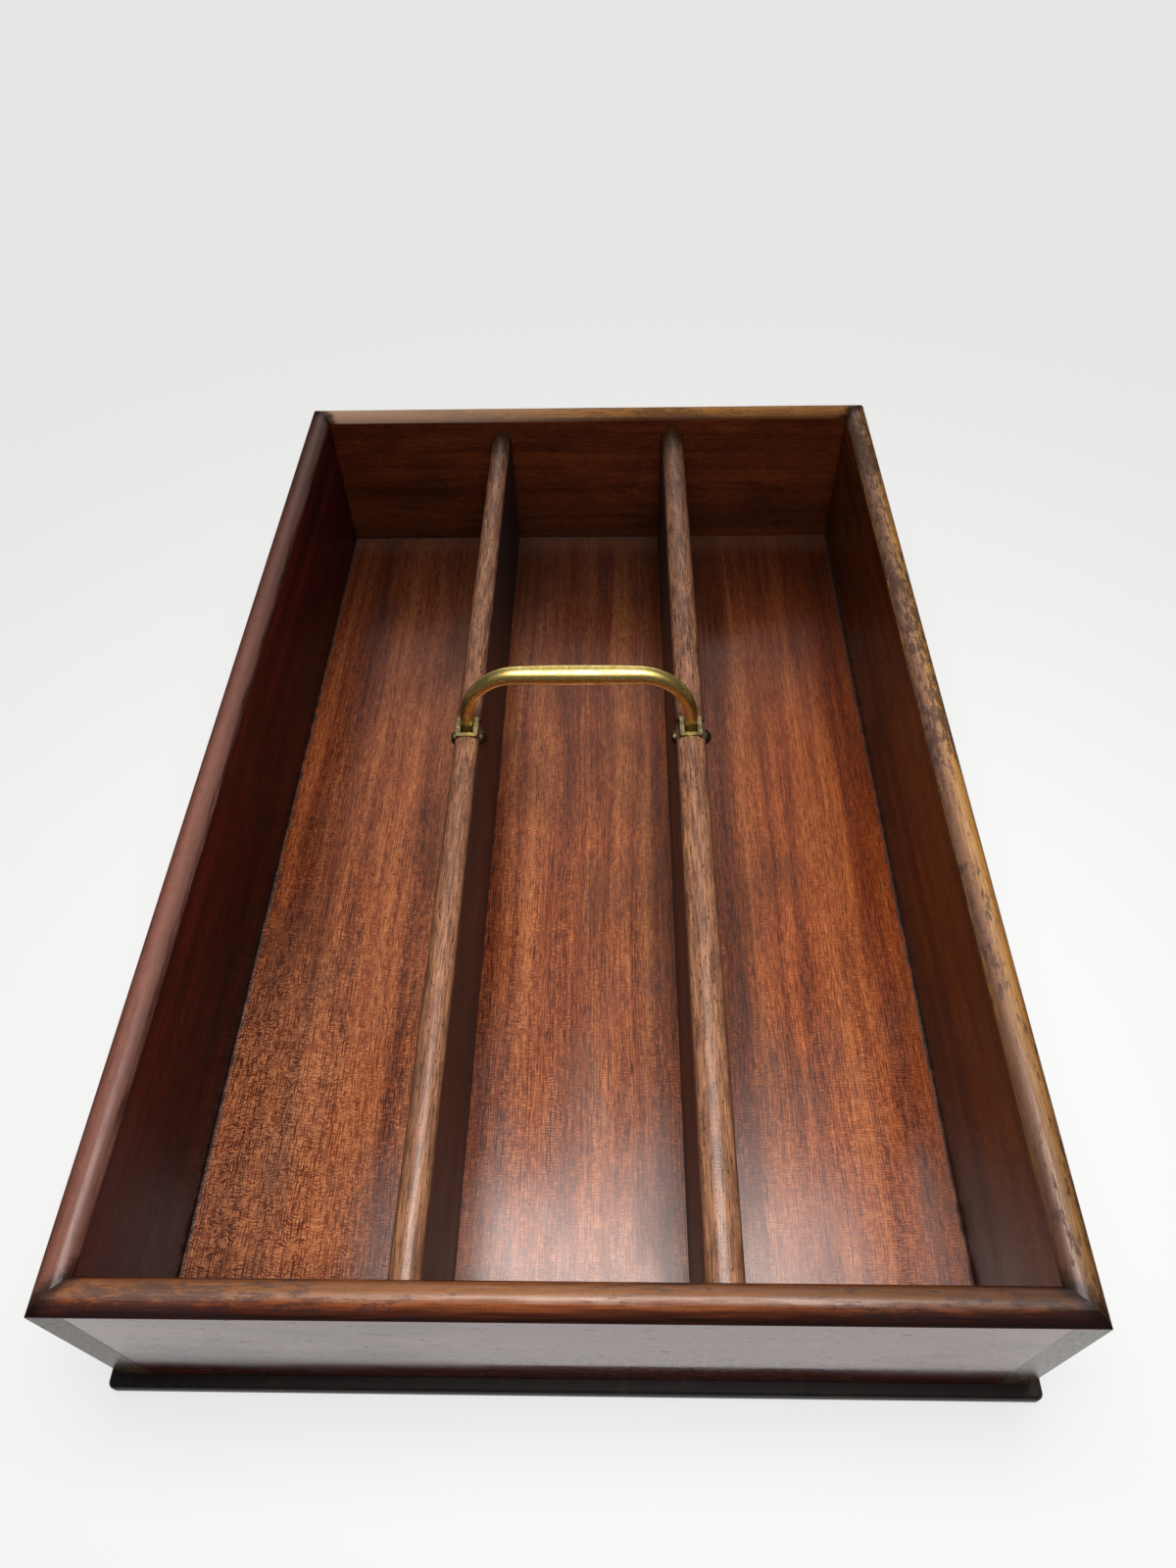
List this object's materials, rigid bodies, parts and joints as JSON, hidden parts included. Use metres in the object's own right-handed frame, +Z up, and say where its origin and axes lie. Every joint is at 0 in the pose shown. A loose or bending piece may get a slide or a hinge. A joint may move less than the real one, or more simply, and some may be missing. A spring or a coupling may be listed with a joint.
{
  "type": "cutlery tray",
  "caption": "Open wooden cutlery tray with lengthwise dividers, a rounded rim and a brass bail handle that tips on pins in the divider tops.",
  "frame": {"origin": "centre of the underside of the base board, on the surface that the tray stands on", "axes": "+Y along the tray's length, away from the front end board, +X across the width, +Z up"},
  "size_m": [0.2736, 0.4112, 0.093],
  "materials": {
    "mahogany": "old French-polished mahogany, worn on the rounded edges",
    "base_mahogany": "mahogany board, reddish inside, dark and dusty at its outer edge",
    "polished_brass": "handled bright brass, pitted, tarnished underneath",
    "dull_brass": "dull mottled brass",
    "steel": "dark oxidised iron"
  },
  "bodies": {
    "tray": {"base_board": "base_mahogany", "side_board_left": "mahogany", "side_board_right": "mahogany", "end_board_front": "mahogany", "end_board_back": "mahogany", "divider_left": "mahogany", "divider_right": "mahogany", "hinge_bracket_left": "dull_brass", "hinge_bracket_right": "dull_brass", "pivot_screw_left": "dull_brass", "pivot_screw_right": "dull_brass", "pivot_nut_left": "dull_brass", "pivot_nut_right": "dull_brass", "corner_pin_1": "steel", "corner_pin_2": "steel", "corner_pin_3": "steel", "corner_pin_4": "steel", "corner_pin_5": "steel", "corner_pin_6": "steel", "corner_pin_7": "steel", "corner_pin_8": "steel", "corner_pin_9": "steel", "corner_pin_10": "steel", "corner_pin_11": "steel", "corner_pin_12": "steel", "base_screw_1": "steel", "base_screw_2": "steel", "base_screw_3": "steel", "base_screw_4": "steel", "base_screw_5": "steel", "base_screw_6": "steel", "base_screw_7": "steel", "base_screw_8": "steel", "base_screw_9": "steel", "base_screw_10": "steel", "base_screw_11": "steel", "base_screw_12": "steel"},
    "handle": {"handle_bail": "polished_brass"}
  },
  "joints": [
    {"name": "handle_swing", "type": "hinge", "parent": "tray", "child": "handle", "pos_m": [0, 0, 0.0615], "axis": [1, 0, 0], "range_deg": [-11, 17]}
  ]
}
